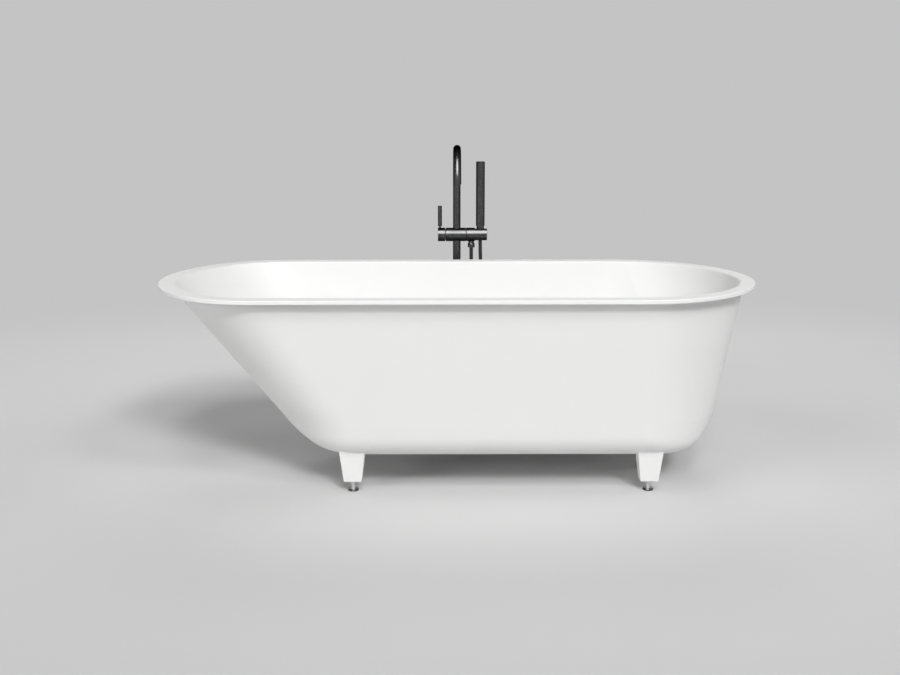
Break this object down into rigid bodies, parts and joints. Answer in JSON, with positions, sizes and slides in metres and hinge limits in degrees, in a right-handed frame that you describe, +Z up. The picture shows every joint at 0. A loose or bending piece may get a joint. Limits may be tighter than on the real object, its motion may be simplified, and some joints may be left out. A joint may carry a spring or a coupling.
{
  "type": "freestanding bathtub",
  "caption": "Freestanding single-ended bathtub with a flat lip on screw-levelled tapered feet, pop-up waste, and a floor-standing bath tap with swivel spout and hand shower.",
  "frame": {"origin": "on the floor, under the middle of the whole set's box", "axes": "+X along the bath towards its steep end and waste, +Y across the bath towards the tap, +Z up"},
  "size_m": [1.7, 0.9272, 0.9328],
  "materials": {
    "bath_cast": "satin cast mineral",
    "brass": "machined",
    "steel": "zinc plated",
    "pad_plastic": "moulded",
    "rubber": "matt",
    "waste_chrome": "polished",
    "waste_steel": "turned",
    "seal_rubber": "matt",
    "waste_plastic": "moulded",
    "floor_steel": "brushed",
    "tap_black": "satin black coating",
    "copper": "drawn copper",
    "cartridge_plastic": "moulded",
    "tap_brass": "machined",
    "nozzle_rubber": "soft",
    "hose_black": "smooth satin"
  },
  "bodies": {
    "root": {"bath_shell": "bath_cast", "foot_front_left": "bath_cast", "foot_front_right": "bath_cast", "foot_rear_left": "bath_cast", "foot_rear_right": "bath_cast", "foot_inserts": "brass", "foot_bolts": "steel", "foot_washers": "steel", "foot_dowels": "steel", "foot_bushes": "brass", "waste_flange": "waste_chrome", "waste_flange_seal": "seal_rubber", "waste_body_seal": "seal_rubber", "waste_body": "waste_plastic", "waste_cartridge": "waste_steel", "tail_nut": "waste_plastic", "tail_seal": "seal_rubber", "tail_pipe": "waste_plastic", "tap_floor_plate": "floor_steel", "tap_floor_cover": "tap_black", "tap_column": "tap_black", "tap_supply_pipes": "copper", "tap_body": "tap_black", "tap_cartridge": "cartridge_plastic", "tap_cartridge_nut": "cartridge_plastic", "tap_body_ring": "seal_rubber", "tap_holder_end": "tap_black", "tap_diverter_bush": "tap_brass", "tap_hose_outlet": "tap_black", "tap_hose_nut": "tap_black", "tap_spout_bush": "cartridge_plastic", "shower_hose": "hose_black"},
    "pad_front_left": {"leveller_pad_front_left": "pad_plastic", "leveller_sole_front_left": "rubber"},
    "spindle_front_left": {"leveller_spindle_front_left": "steel"},
    "pad_front_right": {"leveller_pad_front_right": "pad_plastic", "leveller_sole_front_right": "rubber"},
    "spindle_front_right": {"leveller_spindle_front_right": "steel"},
    "pad_rear_left": {"leveller_pad_rear_left": "pad_plastic", "leveller_sole_rear_left": "rubber"},
    "spindle_rear_left": {"leveller_spindle_rear_left": "steel"},
    "pad_rear_right": {"leveller_pad_rear_right": "pad_plastic", "leveller_sole_rear_right": "rubber"},
    "spindle_rear_right": {"leveller_spindle_rear_right": "steel"},
    "plug": {"waste_plug": "waste_chrome", "waste_plug_seal": "seal_rubber", "waste_plug_stem": "waste_steel"},
    "handle": {"tap_handle": "tap_black", "tap_lever": "tap_black", "tap_cartridge_stem": "tap_brass"},
    "spout": {"tap_spout": "tap_black", "tap_spout_rings": "seal_rubber", "tap_aerator": "cartridge_plastic"},
    "diverter": {"tap_diverter_knob": "tap_black"},
    "hand_shower": {"hand_shower_cone": "tap_black", "hand_shower_body": "tap_black", "hand_shower_face": "cartridge_plastic", "hand_shower_nozzles": "nozzle_rubber"}
  },
  "joints": [
    {"name": "level_front_left", "type": "slide", "parent": "root", "child": "pad_front_left", "axis": [0, 0, 1], "range_m": [-0.01, 0.014]},
    {"name": "screw_front_left", "type": "hinge", "parent": "pad_front_left", "child": "spindle_front_left", "pos_m": [-0.292, -0.279, 0], "axis": [0, 0, 1], "range_deg": [-1801, 2521]},
    {"name": "level_front_right", "type": "slide", "parent": "root", "child": "pad_front_right", "axis": [0, 0, 1], "range_m": [-0.01, 0.014]},
    {"name": "screw_front_right", "type": "hinge", "parent": "pad_front_right", "child": "spindle_front_right", "pos_m": [0.536, -0.279, 0], "axis": [0, 0, 1], "range_deg": [-1801, 2521]},
    {"name": "level_rear_left", "type": "slide", "parent": "root", "child": "pad_rear_left", "axis": [0, 0, 1], "range_m": [-0.01, 0.014]},
    {"name": "screw_rear_left", "type": "hinge", "parent": "pad_rear_left", "child": "spindle_rear_left", "pos_m": [-0.292, 0.137, 0], "axis": [0, 0, 1], "range_deg": [-1801, 2521]},
    {"name": "level_rear_right", "type": "slide", "parent": "root", "child": "pad_rear_right", "axis": [0, 0, 1], "range_m": [-0.01, 0.014]},
    {"name": "screw_rear_right", "type": "hinge", "parent": "pad_rear_right", "child": "spindle_rear_right", "pos_m": [0.536, 0.137, 0], "axis": [0, 0, 1], "range_deg": [-1801, 2521]},
    {"name": "plug_lift", "type": "slide", "parent": "root", "child": "plug", "axis": [0, 0, 1], "range_m": [0, 0.009]},
    {"name": "lever_turn", "type": "hinge", "parent": "root", "child": "handle", "pos_m": [0.0041, 0.409, 0.6387], "axis": [1, 0, 0], "range_deg": [0, 100]},
    {"name": "spout_swivel", "type": "hinge", "parent": "root", "child": "spout", "pos_m": [0.0041, 0.409, 0.6387], "axis": [0, 0, 1], "range_deg": [-60, 60]},
    {"name": "diverter_pull", "type": "slide", "parent": "root", "child": "diverter", "axis": [0, 1, 0], "range_m": [0, 0.008]},
    {"name": "hand_shower_lift", "type": "slide", "parent": "root", "child": "hand_shower", "axis": [0, 0, 1], "range_m": [0, 0.12]}
  ],
  "couplings": [
    {"joint": "screw_front_left", "follows": "level_front_left", "rad_per_m": 3141.6},
    {"joint": "screw_front_right", "follows": "level_front_right", "rad_per_m": 3141.6},
    {"joint": "screw_rear_left", "follows": "level_rear_left", "rad_per_m": 3141.6},
    {"joint": "screw_rear_right", "follows": "level_rear_right", "rad_per_m": 3141.6}
  ]
}
